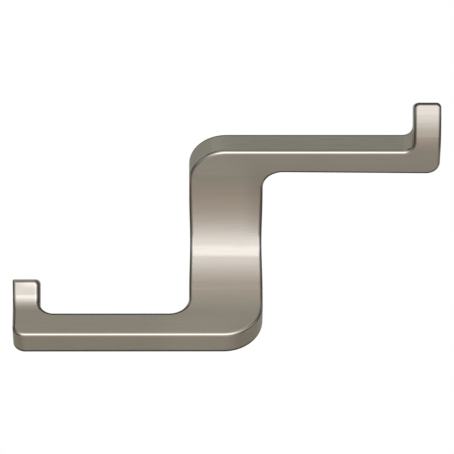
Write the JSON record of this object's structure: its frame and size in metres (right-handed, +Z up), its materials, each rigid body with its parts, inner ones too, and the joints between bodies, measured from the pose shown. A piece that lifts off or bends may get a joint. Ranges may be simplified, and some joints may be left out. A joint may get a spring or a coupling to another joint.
{
  "type": "coat hook",
  "caption": "Z-shaped cast wall hook: a hollow-fronted strap with an arm to each side, each arm ending in an upturned tip, on a foot hidden behind it.",
  "frame": {"origin": "centre of the foot's flat back face, which lies on the wall", "axes": "+X to the right along the arms as seen from the front, +Y into the wall, +Z up"},
  "size_m": [0.1082, 0.0294, 0.0629],
  "materials": {
    "satin_nickel": "satin nickel plating"
  },
  "bodies": {
    "root": {"hook": "satin_nickel"}
  },
  "joints": []
}
